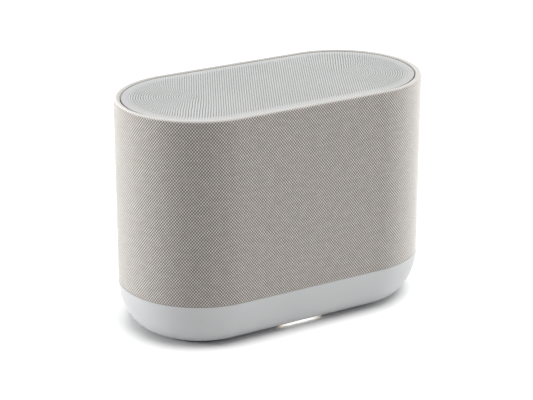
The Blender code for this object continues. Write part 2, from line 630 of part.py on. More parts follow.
def top():
    """The top panel with its skirt, the frame under it and the boards it hides."""
    skirt_in = PANEL_INSET + PANEL_THICK
    racetrack_solid("top_grille", "pale_plastic", [
        (skirt_in, PANEL_TOP_Z - PANEL_THICK), (skirt_in, PANEL_SKIRT_Z), (PANEL_INSET, PANEL_SKIRT_Z),
        (PANEL_INSET, PANEL_TOP_Z - PANEL_BEVEL), (PANEL_INSET + PANEL_BEVEL, PANEL_TOP_Z),
    ])
    leg_out, leg_in = CABINET_INSET, CABINET_INSET + FRAME_WALL
    foam_z = CABINET_TOP + GAP
    leg_z = foam_z + GASKET + GAP
    racetrack_hoop("frame_gasket", "foam", band(leg_out, leg_in, foam_z, foam_z + GASKET))
    racetrack_hoop("top_frame", "inner_plastic", [
        (leg_out, leg_z), (leg_out, FRAME_TOP_Z - FRAME_FLANGE), (PANEL_INSET, FRAME_TOP_Z - FRAME_FLANGE),
        (PANEL_INSET, FRAME_TOP_Z), (leg_in, FRAME_TOP_Z), (leg_in, leg_z),
    ])
    slab("touch_board", "circuit_board", (*TOUCH_BOARD, BOARD_THICK), (0, -MAIN_BOARD[1] / 4, TOUCH_BOARD_Z))
    microphones = (*MICROPHONE_BOARD, BOARD_THICK)
    slab("microphone_board", "circuit_board", microphones, (0, MAIN_BOARD[1] / 4, TOUCH_BOARD_Z))
    slab("main_board", "circuit_board", (*MAIN_BOARD, BOARD_THICK), (0, 0, MAIN_BOARD_Z))
    slab("shield_can", "steel", SHIELD_CAN, (0, 0, MAIN_BOARD_Z + BOARD_THICK + GAP))
    antenna_x = ARC_CENTRE_X + END_RADIUS - CABINET_INSET - FRAME_WALL - ANTENNA_CLEAR
    for side, sign in SIDES.items():
        slab(f"antenna_{side}", "circuit_board", ANTENNA, (sign * antenna_x, 0, CABINET_TOP + 2 * GAP))


# --- Cabinet and loudspeakers -------------------------------------------------------------------------------
def cabinet():
    """The sealed box, its gasket and the baffle."""
    outer = [(CABINET_INSET, CABINET_Z), (CABINET_INSET, CABINET_TOP)]
    shell = racetrack_solid("rear_cabinet", "inner_plastic", outer)
    inner = CABINET_INSET + CABINET_WALL
    hollow = [(inner, CABINET_Z + CABINET_WALL), (inner, CABINET_TOP - CABINET_WALL)]
    cut(shell, racetrack_solid("cabinet_hollow", None, hollow))
    front = ((-BODY_LENGTH, -BODY_DEPTH, 0), (BODY_LENGTH, CABINET_FRONT_Y, BODY_HEIGHT))
    cut(shell, boxes("cabinet_front", None, [front]))
    top_places = [(sign * TOP_DRIVER_X, 0, CABINET_TOP - 2 * CABINET_WALL) for sign in SIDES.values()]
    top_hole = TOP_DRIVER_R - TOP_DRIVER_NECK_STEP
    cut(shell, rods("top_driver_holes", None, top_places, top_hole, 4 * CABINET_WALL, sides=DRIVER_SIDES))

    half = racetrack_half_width(CABINET_INSET, CABINET_FRONT_Y)
    inner_half = racetrack_half_width(inner, CABINET_FRONT_Y)
    baffle = boxes("front_baffle", "inner_plastic", [
        ((-half, BAFFLE_Y, CABINET_Z), (half, BAFFLE_Y + BAFFLE_THICK, CABINET_TOP)),
    ])
    gasket = boxes("cabinet_gasket", "foam", [
        ((-half, GASKET_Y, CABINET_Z), (half, GASKET_Y + GASKET, CABINET_TOP)),
    ])
    window = ((-inner_half, GASKET_Y - 1, CABINET_Z + CABINET_WALL),
              (inner_half, GASKET_Y + GASKET + 1, CABINET_TOP - CABINET_WALL))
    cut(gasket, boxes("gasket_window", None, [window]))
    woofers = [(sign * WOOFER_X, BAFFLE_Y - 1, WOOFER_Z) for sign in SIDES.values()]
    tweeters = [(sign * TWEETER_X, BAFFLE_Y - 1, TWEETER_Z) for sign in SIDES.values()]
    reach = BAFFLE_THICK + 2
    woofer_hole = WOOFER_NECK_R + GAP
    cut(baffle, rods("woofer_holes", None, woofers, woofer_hole, reach, (0, 1, 0), DRIVER_SIDES))
    cut(baffle, rods("tweeter_holes", None, tweeters, TWEETER_R - 2 + GAP, reach, (0, 1, 0), DRIVER_SIDES))


def woofer(side, sign):
    """Basket, magnet, cone with its coil, surround and spider, all round the cone's line of travel."""
    at = (sign * WOOFER_X, BAFFLE_Y - GAP, WOOFER_Z)
    rim_z = WOOFER_FLANGE + GAP
    neck, seat = WOOFER_NECK_R, WOOFER_CONE_R + 2 * SURROUND_ROLL + 2 * GAP
    floor_z, bowl_r = -WOOFER_BASKET, WOOFER_MAGNET_R - BASKET_EDGE
    bore = WOOFER_COIL_R + COIL_PLAY
    turned(f"woofer_basket_{side}", "steel", [
        (seat, WOOFER_FLANGE), (WOOFER_R, WOOFER_FLANGE), (WOOFER_R, 0), (neck, 0),
        (neck, -BAFFLE_THICK), (WOOFER_MAGNET_R, floor_z), (bore, floor_z), (bore, floor_z + BASKET_FLOOR),
        (bowl_r, floor_z + BASKET_FLOOR), (neck - BASKET_WALL, -BAFFLE_THICK), (neck - BASKET_WALL, 0),
    ], at, FACING_FRONT)
    magnet_z = floor_z - GAP
    slot_z = magnet_z - WOOFER_MAGNET + MAGNET_BACK
    pole_r, pole_z = WOOFER_COIL_R - POLE_PLAY, floor_z + POLE_RISE
    turned(f"woofer_magnet_{side}", "ferrite", [
        (0, pole_z), (pole_r, pole_z), (pole_r, slot_z), (bore, slot_z),
        (bore, magnet_z), (WOOFER_MAGNET_R, magnet_z), (WOOFER_MAGNET_R, magnet_z - WOOFER_MAGNET),
        (0, magnet_z - WOOFER_MAGNET),
    ], at, FACING_FRONT)
    apex_z = rim_z - WOOFER_CONE_DEPTH
    coil_in, coil_out, wall = WOOFER_COIL_R - COIL_HALF, WOOFER_COIL_R + COIL_HALF, CONE_WALL
    cap_r, shoulder_z, cap_z = coil_out - DUST_CAP_STEP, apex_z + DUST_CAP_SHOULDER, apex_z + DUST_CAP_RISE
    coil_z = slot_z + WOOFER_TRAVEL + BASKET_FLOOR
    turned(f"woofer_cone_{side}", "paper", [
        (0, cap_z), (cap_r, shoulder_z), (coil_out, apex_z + wall), (WOOFER_CONE_R, rim_z),
        (WOOFER_CONE_R, rim_z - wall), (coil_out, apex_z - wall), (coil_out, coil_z), (coil_in, coil_z),
        (coil_in, apex_z), (cap_r - DUST_CAP_LEAN, shoulder_z - wall), (0, cap_z - wall),
    ], at, FACING_FRONT)
    roll_in = WOOFER_CONE_R + GAP
    roll_mid = roll_in + SURROUND_ROLL
    turns = [math.pi * step / 4 for step in range(5)]
    roll, thin = SURROUND_ROLL, SURROUND_ROLL - SURROUND_WALL
    crest = [(roll_mid - roll * math.cos(turn), rim_z + roll * math.sin(turn)) for turn in turns]
    hollow = [(roll_mid - thin * math.cos(turn), rim_z + thin * math.sin(turn)) for turn in turns]
    lip_r = WOOFER_R - SURROUND_LIP
    turned(f"woofer_surround_{side}", "rubber", [
        *crest, (lip_r, rim_z + SURROUND_WALL), (lip_r, rim_z), (crest[-1][0] - SURROUND_STEP, rim_z),
        *reversed(hollow[:-1]),
    ], at, FACING_FRONT)
    spider_z = (apex_z + floor_z) / 2 - 1
    climb = (spider_z - floor_z - BASKET_FLOOR) / (-BAFFLE_THICK - floor_z - BASKET_FLOOR)
    spider_out = bowl_r + (neck - BASKET_WALL - bowl_r) * climb - SPIDER_SEAT
    spider_in = coil_out + GAP
    ridges = [(spider_in + (spider_out - spider_in) * step / 4, spider_z + (SPIDER_RIPPLE if step % 2 else 0))
              for step in range(5)]
    turned(f"woofer_spider_{side}", "silk", [
        *ridges, *[(radius, height - SURROUND_WALL) for radius, height in reversed(ridges)],
    ], at, FACING_FRONT)


def tweeter(side, sign):
    """A housing with its magnet, and a dome with its coil."""
    at = (sign * TWEETER_X, BAFFLE_Y - GAP, TWEETER_Z)
    coil_r, floor_z = TWEETER_DOME_R - TWEETER_COIL_SETBACK, -TWEETER_BODY
    slot_in, slot_out, slot_z = coil_r - TWEETER_SLOT, coil_r + TWEETER_SLOT, floor_z + TWEETER_SLOT_BACK
    mouth, neck, flange = TWEETER_DOME_R + TWEETER_PLAY, TWEETER_R - TWEETER_NECK_STEP, TWEETER_FLANGE
    turned(f"tweeter_body_{side}", "dark_plastic", [
        (0, -flange), (slot_in, -flange), (slot_in, slot_z), (slot_out, slot_z), (slot_out, -flange),
        (mouth, 0), (mouth, flange), (TWEETER_R, flange), (TWEETER_R, 0), (neck, 0), (neck, floor_z),
        (0, floor_z),
    ], at, FACING_FRONT, sides=SMALL_DRIVER_SIDES)
    coil_in, coil_out, coil_z = coil_r - COIL_THIN, coil_r + COIL_THIN, floor_z + TWEETER_COIL_BACK
    edge_low, edge_high = TWEETER_EDGE_LIFT, TWEETER_EDGE_LIFT + TWEETER_EDGE_THICK
    shoulder_r, shoulder_z, crown_z = coil_r * TWEETER_SHOULDER, TWEETER_SHOULDER_Z, TWEETER_CROWN_Z
    turned(f"tweeter_dome_{side}", "silk", [
        (0, crown_z), (shoulder_r, shoulder_z), (TWEETER_DOME_R, edge_high), (TWEETER_DOME_R, edge_low),
        (coil_out, edge_low), (coil_out, coil_z), (coil_in, coil_z), (coil_in, edge_low),
        (shoulder_r, shoulder_z - COIL_THIN * 2), (0, crown_z - COIL_THIN * 2),
    ], at, FACING_FRONT, sides=SMALL_DRIVER_SIDES)


def top_driver(side, sign):
    """A small driver that fires up through the top panel."""
    at = (sign * TOP_DRIVER_X, 0, CABINET_TOP + GAP)
    coil_r, cone_r, floor_z = TOP_DRIVER_COIL_R, TOP_DRIVER_CONE_R, -TOP_DRIVER_BODY
    neck, flange, step = TOP_DRIVER_R - TOP_DRIVER_NECK_STEP - GAP, TOP_DRIVER_FLANGE, TOP_DRIVER_NECK_STEP
    pole_z, slot_z = floor_z + TOP_DRIVER_POLE, floor_z + TOP_DRIVER_BACK
    slot_in, slot_out = coil_r - TOP_DRIVER_SLOT, coil_r + TOP_DRIVER_SLOT
    turned(f"top_driver_frame_{side}", "steel", [
        (0, pole_z), (slot_in, pole_z), (slot_in, slot_z), (slot_out, slot_z), (slot_out, pole_z),
        (neck - step, -step), (cone_r + TOP_DRIVER_PLAY, flange), (TOP_DRIVER_R, flange), (TOP_DRIVER_R, 0),
        (neck, 0), (neck, -step), (neck - TOP_DRIVER_TAPER, floor_z), (0, floor_z),
    ], at, FACING_UP, sides=SMALL_DRIVER_SIDES)
    coil_in, coil_out, coil_z = coil_r - COIL_THIN, coil_r + COIL_THIN, slot_z + TOP_DRIVER_COIL_LIFT
    apex_z, wall, cap_z = -TOP_DRIVER_DEPTH, CONE_WALL, TOP_DRIVER_CAP_RISE - TOP_DRIVER_DEPTH
    turned(f"top_driver_cone_{side}", "paper", [
        (0, cap_z), (coil_r, apex_z), (cone_r, flange), (cone_r, flange - wall), (coil_out, apex_z - wall),
        (coil_out, coil_z), (coil_in, coil_z), (coil_in, apex_z - wall), (0, cap_z - wall),
    ], at, FACING_UP, sides=SMALL_DRIVER_SIDES)


# --- Boards in the base -------------------------------------------------------------------------------------
def electronics():
    """Power supply on the left, amplifier with its heat sink on the right."""
    part_z = BOARD_Z + BOARD_THICK + GAP
    power_x = -(BOARD_GAP_X + POWER_BOARD_LENGTH / 2)
    board_y = BAY_BACK_Y - BAY_WALL - INLET_DEPTH - BOARD_CLEAR - BOARD_DEPTH / 2
    supply = (POWER_BOARD_LENGTH, BOARD_DEPTH, BOARD_THICK)
    slab("power_board", "circuit_board", supply, (power_x, board_y, BOARD_Z))
    slab("power_transformer", "ferrite", TRANSFORMER, (power_x - TRANSFORMER_SHIFT, board_y, part_z))
    capacitor = (power_x + POWER_BOARD_LENGTH / 2 - CAPACITOR_R - BOARD_CLEAR, board_y, part_z)
    rods("power_capacitor", "aluminium", [capacitor], CAPACITOR_R, CAPACITOR_HEIGHT, sides=CAPACITOR_SIDES)

    amplifier_x = BOARD_GAP_X + AMPLIFIER_BOARD_LENGTH / 2
    amplifier = (AMPLIFIER_BOARD_LENGTH, BOARD_DEPTH, BOARD_THICK)
    slab("amplifier_board", "circuit_board", amplifier, (amplifier_x, board_y, BOARD_Z))
    length, depth, height = HEAT_SINK
    pitch = length / (HEAT_SINK_FINS - 0.5)
    outline = [(0, 0)]
    for fin in range(HEAT_SINK_FINS):
        outline += [(fin * pitch, height), (fin * pitch + pitch / 2, height)]
        if fin < HEAT_SINK_FINS - 1:
            outline += [(fin * pitch + pitch / 2, height / 4), ((fin + 1) * pitch, height / 4)]
    outline.append((length, 0))
    bm = bmesh.new()
    corner = Vector((amplifier_x - length / 2, board_y - depth / 2, part_z))
    face = bm.faces.new([bm.verts.new(corner + Vector((x, 0, z))) for x, z in outline])
    moved = bmesh.ops.extrude_face_region(bm, geom=[face])["geom"]
    pushed = [item for item in moved if isinstance(item, bmesh.types.BMVert)]
    bmesh.ops.translate(bm, vec=(0, depth, 0), verts=pushed)
    finish(bm, "heat_sink", "aluminium", smooth=False)


def build():
    for old in list(bpy.data.objects):
        bpy.data.objects.remove(old, do_unlink=True)
    base_cover, plate, foot = base()
    status_light(base_cover, plate, foot)
    connector_bay()
    electronics()
    cover()
    top()
    cabinet()
    for side, sign in SIDES.items():
        woofer(side, sign)
        tweeter(side, sign)
        top_driver(side, sign)


build()
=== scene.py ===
"""Looks for the fabric-wrapped tabletop speaker: woven sleeve, drilled panel, moulded base and its fittings.

Places and outer sizes come from the frame's boxes, and the sizes of the finish are named below, in metres.
"""

import json
import math

import bmesh
import bpy
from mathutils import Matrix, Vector
from mathutils.geometry import delaunay_2d_cdt


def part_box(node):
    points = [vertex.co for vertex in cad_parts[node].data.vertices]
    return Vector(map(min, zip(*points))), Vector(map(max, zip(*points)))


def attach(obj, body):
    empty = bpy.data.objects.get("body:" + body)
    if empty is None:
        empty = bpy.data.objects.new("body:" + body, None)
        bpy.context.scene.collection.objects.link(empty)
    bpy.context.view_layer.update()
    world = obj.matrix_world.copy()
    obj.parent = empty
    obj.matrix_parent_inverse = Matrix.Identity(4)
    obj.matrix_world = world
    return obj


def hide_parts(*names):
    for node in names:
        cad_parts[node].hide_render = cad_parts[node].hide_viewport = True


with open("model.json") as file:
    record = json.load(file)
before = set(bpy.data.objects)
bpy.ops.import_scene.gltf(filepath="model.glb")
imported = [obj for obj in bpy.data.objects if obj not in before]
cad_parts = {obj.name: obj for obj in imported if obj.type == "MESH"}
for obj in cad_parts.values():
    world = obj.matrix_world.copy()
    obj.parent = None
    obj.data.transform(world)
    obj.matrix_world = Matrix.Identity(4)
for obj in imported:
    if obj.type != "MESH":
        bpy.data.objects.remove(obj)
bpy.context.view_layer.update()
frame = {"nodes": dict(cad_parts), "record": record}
BODY = "speaker"
MM = 0.001

# --- Sizes of the finish, which the frame doesn't hold ----------------------------------------------------
ARC_STEPS = 96  # steps in each half-round end

YARN_ROUND = 582  # crossings round the sleeve, an even number
YARN_RISE = 1.58 * MM  # spacing of the crossings up the sleeve
YARN_RELIEF = 0.26 * MM
STRANDS = 3  # in each yarn
HEM = 0.2 * MM
HEM_GAP = 0.05 * MM  # hem to the base
CREST_ROUND = 2.8 * MM
CREST_STEPS = 10
CREST_HIGHLIGHT_REACH = 1.8 * MM  # how far down from the rim's top the yarns get a painted highlight
FOLD_ROUND = 2.4 * MM
FOLD_DEPTH = 7.0 * MM
FOLD_PLAY = 0.7 * MM  # fold to the top panel

HOLE_RINGS = 30  # from the panel's middle line to its border
HOLE_PITCH = 2.43 * MM
HOLE_RADIUS = 0.70 * MM
HOLE_DEPTH = 1.3 * MM
HOLE_SIDES = 6
PAINTED_HOLE_SHADE_DEPTHS = (0.02 * MM, 0.14 * MM)  # depths between which a hole's wall darkens into painted shade
SMALLEST_HOLE = 0.35  # share of the radius, in the outermost ring
FADED_RINGS = 4  # rings in which the holes grow smaller towards the border
PANEL_BORDER = 1.7 * MM
PANEL_EASE = 0.3 * MM  # panel drawn out towards the rim
PANEL_ROUND = 0.6 * MM
PANEL_ROUND_STEPS = 4
PANEL_WALL = 2.0 * MM

HULL_POWER = 1.764  # 2 would be a quarter of an ellipse, and less is flatter
HULL_STEPS = 26
SEAM_STRAIGHT = 1.5 * MM  # upright stretch under the sleeve
BASE_WALL = 2.6 * MM
BAY_WALL = 2.0 * MM
BAY_ROUND = 4.0 * MM
FOOT_WIDTH = 14.0 * MM
FOOT_EDGE = 0.35 * MM
NOTCH_CORNER = 0.3 * MM
FIT = 0.3 * MM  # clearance between pieces that meet
DRILL_SIDES = 48
CORNER_STEPS = 8

INLET_BACK = 1.8 * MM
INLET_LOBE = 3.85 * MM
INLET_WAIST = 3.45 * MM  # half its height
INLET_CORNER = 1.5 * MM
WAIST_CORNER = 0.2 * MM
INLET_EDGE = 0.3 * MM
DISC_SIDES = 64
BUTTON_RADIUS = 3.2 * MM
BUTTON_COLLAR = 0.8 * MM
BUTTON_EDGE = 0.35 * MM
DISH_RADIUS = 14.0 * MM
DISH_DEPTH = 0.3 * MM
THUMB_CORNER = 0.5 * MM
SHOE = 1.0 * MM
SHOE_CORNER = 0.4 * MM
SHOE_REACH = Vector((2, 0, 1)) * MM  # how far the switch's shoe reaches past its thumb piece
GROOVE = 0.2 * MM
GROOVE_PITCH = 1.0 * MM

SCREWS = 4
SCREW_RECESS = 1.4 * MM
LABEL = (90.0 * MM, 28.0 * MM)
LABEL_RECESS = 0.3 * MM
LABEL_ROUND = 3.0 * MM
LENS_HEIGHT = 1.1 * MM
LENS_RISE = 1.05 * MM  # lens axis above its lowest point in the frame
LENS_SIDES = 96
LIGHT_STEM = 1.2 * MM
STEM_CORNER = 0.3 * MM
GLOW_EDGE = (11.0 * MM, 23.0 * MM)  # places along the lens between which its light dims
GLOW = 1.05

# --- The frame's racetracks -------------------------------------------------------------------------------
sleeve_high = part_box("fabric_sleeve")[1]
cover_low, cover_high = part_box("base_cover")
END_RADIUS = sleeve_high[1]
ARC_X = sleeve_high[0] - END_RADIUS  # middle of each half-round end


def inset_of(node):
    """How far a racetrack node lies inside the body's outline."""
    return END_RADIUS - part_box(node)[1][1]


def corners(node):
    """A node's lowest and highest corner, as vectors."""
    low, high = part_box(node)
    return Vector(low), Vector(high)


# --- Shader maths -----------------------------------------------------------------------------------------
class Term:
    """A shader socket that can stand in a sum."""

    def __init__(self, finish, socket):
        self.finish = finish
        self.socket = socket

    def math(self, operation, *values):
        return self.finish.node("ShaderNodeMath", {"operation": operation}, values)

    def __add__(self, other):
        return self.math("ADD", self, other)

    def __sub__(self, other):
        return self.math("SUBTRACT", self, other)

    def __rsub__(self, other):
        return self.math("SUBTRACT", other, self)

    def __mul__(self, other):
        return self.math("MULTIPLY", self, other)

    __radd__ = __add__
    __rmul__ = __mul__

    def sine(self):
        return self.math("SINE", self)

    def floor(self):
        return self.math("FLOOR", self)

    def size(self):
        return self.math("ABSOLUTE", self)

    def smooth(self, low, high):
        """0 below low and 1 above high, with a smooth step between them."""
        settings = {"interpolation_type": "SMOOTHSTEP", "clamp": True}
        return self.finish.node("ShaderNodeMapRange", settings, [self, low, high, 0.0, 1.0])


class Finish:
    """A Principled material and the nodes that feed it."""

    def __init__(self, name, colour, roughness, metallic=0.0, **sockets):
        self.material = bpy.data.materials.new(name)
        self.material.use_nodes = True
        self.tree = self.material.node_tree
        self.shader = self.tree.nodes["Principled BSDF"]
        self.set("Base Color", (*colour, 1.0))
        self.set("Roughness", roughness)
        self.set("Metallic", metallic)
        for socket, value in sockets.items():
            self.set(socket.replace("_", " "), value)

    def node(self, kind, settings=None, values=(), output=0):
        """A node with its settings, then the values or links of its sockets."""
        made = self.tree.nodes.new(kind)
        for key, value in (settings or {}).items():
            setattr(made, key, value)
        for key, value in values.items() if isinstance(values, dict) else enumerate(values):
            self.link(made.inputs[key], value)
        return Term(self, made.outputs[output])

    def link(self, socket, value):
        if isinstance(value, Term):
            self.tree.links.new(value.socket, socket)
        else:
            socket.default_value = value

    def set(self, socket, value):
        self.link(self.shader.inputs[socket], value)

    def place(self, kind="Object"):
        return self.node("ShaderNodeTexCoord", output=kind)

    def parts(self, vector):
        """The three numbers of a vector, as terms."""
        made = self.node("ShaderNodeSeparateXYZ", values=[vector])
        return [Term(self, socket) for socket in made.socket.node.outputs]

    def joined(self, *numbers):
        return self.node("ShaderNodeCombineXYZ", values=numbers)

    def noise(self, vector, scale, detail=3.0, roughness=0.5):
        values = {"Vector": vector, "Scale": scale, "Detail": detail, "Roughness": roughness}
        return self.node("ShaderNodeTexNoise", {}, values, "Fac")

    def cells(self, vector, scale):
        """The distance to the middle of the nearest cell."""
        return self.node("ShaderNodeTexVoronoi", {}, {"Vector": vector, "Scale": scale}, "Distance")

    def mix(self, factor, first, second):
        """A colour between two colours."""
        settings = {"data_type": "RGBA", "clamp_factor": True}
        return self.node("ShaderNodeMix", settings, {0: factor, 6: first, 7: second}, 2)

    def bump(self, height, distance, strength=1.0):
        values = {"Strength": strength, "Distance": distance, "Height": height}
        self.set("Normal", self.node("ShaderNodeBump", {}, values))


def shade(colour, factor):
    """A darker or lighter copy of a colour."""
    return tuple(min(1.0, value * factor) for value in colour) + (1.0,)


# --- Finishes ---------------------------------------------------------------------------------------------
PALE = (0.39, 0.393, 0.397)
GRILLE = (0.515, 0.52, 0.515)
# near-black painted shade on the walls and floors of the panel's blind holes
HOLE_PAINTED_SHADE = (0.05, 0.05, 0.055, 1.0)
LIGHT_YARN = (0.475, 0.475, 0.465)
TAUPE_YARN = (0.10, 0.06, 0.034)
YARN_SHEEN = (1.0, 0.97, 0.93, 1.0)
# near-black painted shade in the grooves between the yarn floats
YARN_GAP_PAINTED_SHADE = (0.03, 0.024, 0.018, 1.0)
STRAND_SHADE = (0.05, 0.04, 0.03, 1.0)
YARN_FUZZ = (0.24, 0.22, 0.20, 1.0)
# pale cream mixed into the yarns on the rim's crest: a painted highlight
CREST_PAINTED_HIGHLIGHT = (0.85, 0.84, 0.81, 1.0)


def woven_fabric():
    """A plain weave: pale yarn floats over taupe, one float to each crossing, with uneven yarns, painted
    shade in the grooves between the floats and a painted highlight on the rim's crest.
    """
    sheen = {"Sheen_Weight": 0.9, "Sheen_Roughness": 0.5, "Sheen_Tint": YARN_SHEEN}
    finish = Finish("woven_fabric", LIGHT_YARN, 0.85, **sheen)
    along, up, _ = finish.parts(finish.place("UV"))
    wave = (along * math.pi).sine() * (up * math.pi).sine()
    float_mask = wave.smooth(-0.5, 0.5)
    warp = finish.noise(finish.joined(along.floor() * 0.37, up * 0.05, 0.0), 1.0, 2.0)
    weft = finish.noise(finish.joined(along * 0.15, up.floor() * 0.43, 7.0), 1.0, 3.0)
    fuzz = finish.noise(finish.joined(along * 2.6, up * 2.6, 3.0), 1.0, 4.0, 0.7)
    pale = finish.mix(weft.smooth(0.3, 0.7), shade(LIGHT_YARN, 0.90), shade(LIGHT_YARN, 1.10))
    taupe = finish.mix(warp.smooth(0.3, 0.7), shade(TAUPE_YARN, 0.85), shade(TAUPE_YARN, 1.15))
    edges = wave.size().smooth(0.0, 0.45)
    upright, level = (along * (math.tau * STRANDS)).sine(), (up * (math.tau * STRANDS)).sine()
    strands = level + (upright - level) * float_mask
    # Painted shade: the edges of each float, where the grooves between floats lie, are darkened towards near
    # black.
    colour = finish.mix(edges * 0.5 + 0.5, YARN_GAP_PAINTED_SHADE, finish.mix(float_mask, taupe, pale))
    colour = finish.mix(strands.smooth(-1.0, 1.0) * 0.2, colour, STRAND_SHADE)
    colour = finish.mix(fuzz * 0.12, colour, YARN_FUZZ)
    height = finish.parts(finish.place())[2]
    # Painted highlight: the yarns near the top of the rim are mixed towards pale cream.
    crest_highlight = height.smooth(sleeve_high[2] - CREST_HIGHLIGHT_REACH, sleeve_high[2] - HEM)
    finish.set("Base Color", finish.mix(crest_highlight * 0.4, colour, CREST_PAINTED_HIGHLIGHT))
    finish.set("Roughness", 0.75 + fuzz * 0.2)
    finish.bump(float_mask * 0.4 + edges * 0.6 + fuzz * 0.5 + strands * 0.15, 0.12 * MM, 0.7)
    return finish.material


def moulded(name, colour, roughness, grain=0.02, scale=1800.0, **sockets):
    """Moulded plastic with a fine spark-eroded texture and faint handling marks."""
    finish = Finish(name, colour, roughness, **sockets)
    place = finish.place()
    fine = finish.noise(place, scale, 2.0, 0.6)
    wide = finish.noise(place, 14.0).smooth(0.3, 0.7)
    finish.tint = finish.mix(wide, shade(colour, 0.975), shade(colour, 1.02))
    finish.set("Base Color", finish.tint)
    finish.set("Roughness", roughness - 0.05 + wide * 0.06 + fine * 0.05)
    finish.bump(fine, grain * MM, 0.35)
    return finish


def grille_plastic():
    """The top panel's plastic, with painted shade inside its holes."""
    finish = moulded("grille_plastic", GRILLE, 0.5)
    height = finish.parts(finish.place())[2]
    # Painted shade: below the panel's face the holes' walls and floors turn near black.
    depth = (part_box("top_grille")[1][2] - height).smooth(*PAINTED_HOLE_SHADE_DEPTHS)
    finish.set("Base Color", finish.mix(depth, finish.tint, HOLE_PAINTED_SHADE))
    return finish.material


def rubber():
    """Matte elastomer with a pebbled face."""
    colour = (0.075, 0.088, 0.115)
    finish = Finish("rubber", colour, 0.8)
    place = finish.place()
    pebbles = finish.cells(place, 900.0)
    dust = finish.noise(place, 60.0, 4.0, 0.7).smooth(0.55, 0.8)
    finish.set("Base Color", finish.mix(dust * 0.3, shade(colour, 1), (0.22, 0.22, 0.22, 1.0)))
    finish.set("Roughness", 0.72 + pebbles * 0.2)
    finish.bump(pebbles, 0.1 * MM, 0.5)
    return finish.material


def diffuser():
    """A milky light guide, brightest in its middle and warmer towards its ends."""
    finish = Finish("diffuser", (0.95, 0.95, 0.93), 0.3)
    across = finish.parts(finish.place())[0].size()
    ends = across.smooth(*GLOW_EDGE)
    glow = finish.mix(ends, (1.0, 0.99, 0.96, 1.0), (0.55, 0.45, 0.33, 1.0))
    finish.set("Emission Color", glow)
    finish.set("Emission Strength", GLOW)
    return finish.material


def circuit_board():
    """Green solder mask over copper tracks, with vias."""
    finish = Finish("circuit_board", (0.02, 0.12, 0.06), 0.35)
    x, y, z = finish.parts(finish.place())
    flat = finish.joined(x + z, y + z, 0.0)
    tracks = finish.node("ShaderNodeTexBrick", {"offset": 0.37}, {
        "Vector": flat, "Scale": 220.0, "Mortar Size": 0.14, "Brick Width": 1.7, "Row Height": 0.5}, "Fac")
    vias = finish.cells(flat, 260.0).smooth(0.12, 0.17)
    copper = finish.mix(tracks, (0.02, 0.12, 0.06, 1.0), (0.03, 0.2, 0.09, 1.0))
    finish.set("Base Color", finish.mix(vias, (0.55, 0.45, 0.2, 1.0), copper))
    finish.set("Metallic", (1 - vias) * 0.8)
    finish.bump(tracks - vias, 0.05 * MM, 0.4)
    return finish.material


def metal(name, colour, roughness, stretch):
    """Metal with fine lines drawn out along X and faint stains."""
    finish = Finish(name, colour, roughness, 1.0)
    x, y, z = finish.parts(finish.place())
    lines = finish.noise(finish.joined(x * 60.0, y * stretch, z * stretch), 1.0, 3.0)
    stains = finish.noise(finish.place(), 40.0).smooth(0.4, 0.75)
    finish.set("Base Color", finish.mix(stains, shade(colour, 1.05), shade(colour, 0.85)))
    finish.set("Roughness", roughness - 0.08 + lines * 0.2)
    finish.bump(lines, 0.02 * MM, 0.4)
    return finish.material


def grained(name, colour, roughness, scale, depth, **sockets):
    """A matte surface with an even grain: ferrite, paper pulp, doped cloth or foam."""
    finish = Finish(name, colour, roughness, **sockets)
    place = finish.place()
    grain = finish.noise(place, scale, 5.0, 0.7)
    pits = finish.cells(place, scale * 0.8)
    finish.set("Base Color", finish.mix(grain.smooth(0.3, 0.75), shade(colour, 0.7), shade(colour, 1.4)))
    finish.set("Roughness", roughness - 0.1 + grain * 0.2)
    finish.bump(grain + pits * 0.5, depth * MM, 0.6)
    return finish.material


FINISHES = {
    "woven_fabric": woven_fabric(),
    "pale_plastic": moulded("pale_plastic", PALE, 0.42, Specular_IOR_Level=0.45).material,
    "dark_plastic": moulded("dark_plastic", (0.06, 0.065, 0.075), 0.5, 0.03, 1200.0).material,
    "inner_plastic": moulded("inner_plastic", (0.03, 0.03, 0.033), 0.6, 0.04, 900.0).material,
    "rubber": rubber(),
    "diffuser": diffuser(),
    "circuit_board": circuit_board(),
    "steel": metal("steel", (0.6, 0.6, 0.61), 0.35, 2500.0),
    "aluminium": metal("aluminium", (0.75, 0.76, 0.77), 0.4, 1800.0),
    "ferrite": grained("ferrite", (0.045, 0.045, 0.05), 0.6, 700.0, 0.05),
    "paper": grained("paper", (0.04, 0.04, 0.043), 0.9, 500.0, 0.12),
    "silk": grained("silk", (0.05, 0.05, 0.055), 0.7, 1400.0, 0.05, Sheen_Weight=0.3),
    "foam": grained("foam", (0.03, 0.03, 0.03), 1.0, 1100.0, 0.2),
}
GRILLE_FINISH = grille_plastic()


# --- Modelling by hand ------------------------------------------------------------------------------------
def start(name, primitive, **settings):
    """Adds a primitive with nothing else selected and enters edit mode."""
    bpy.ops.object.select_all(action="DESELECT")
    primitive(**settings)
    piece = bpy.context.object
    piece.name = name
    bpy.ops.object.mode_set(mode="EDIT")
    return piece


def leave_edit():
    bpy.ops.object.mode_set(mode="OBJECT")


def use(piece, kind, **settings):
    """Adds a modifier and applies it."""
    bpy.context.view_layer.objects.active = piece
    modifier = piece.modifiers.new(kind.lower(), kind)
    for key, value in settings.items():
        setattr(modifier, key, value)
    bpy.ops.object.modifier_apply(modifier=modifier.name)


def trim(piece, tool, operation="DIFFERENCE"):
    """Cuts a tool's shape away from a piece, or adds it, and removes the tool."""
    use(piece, "BOOLEAN", operation=operation, object=tool, solver="EXACT")
    bpy.data.objects.remove(tool, do_unlink=True)


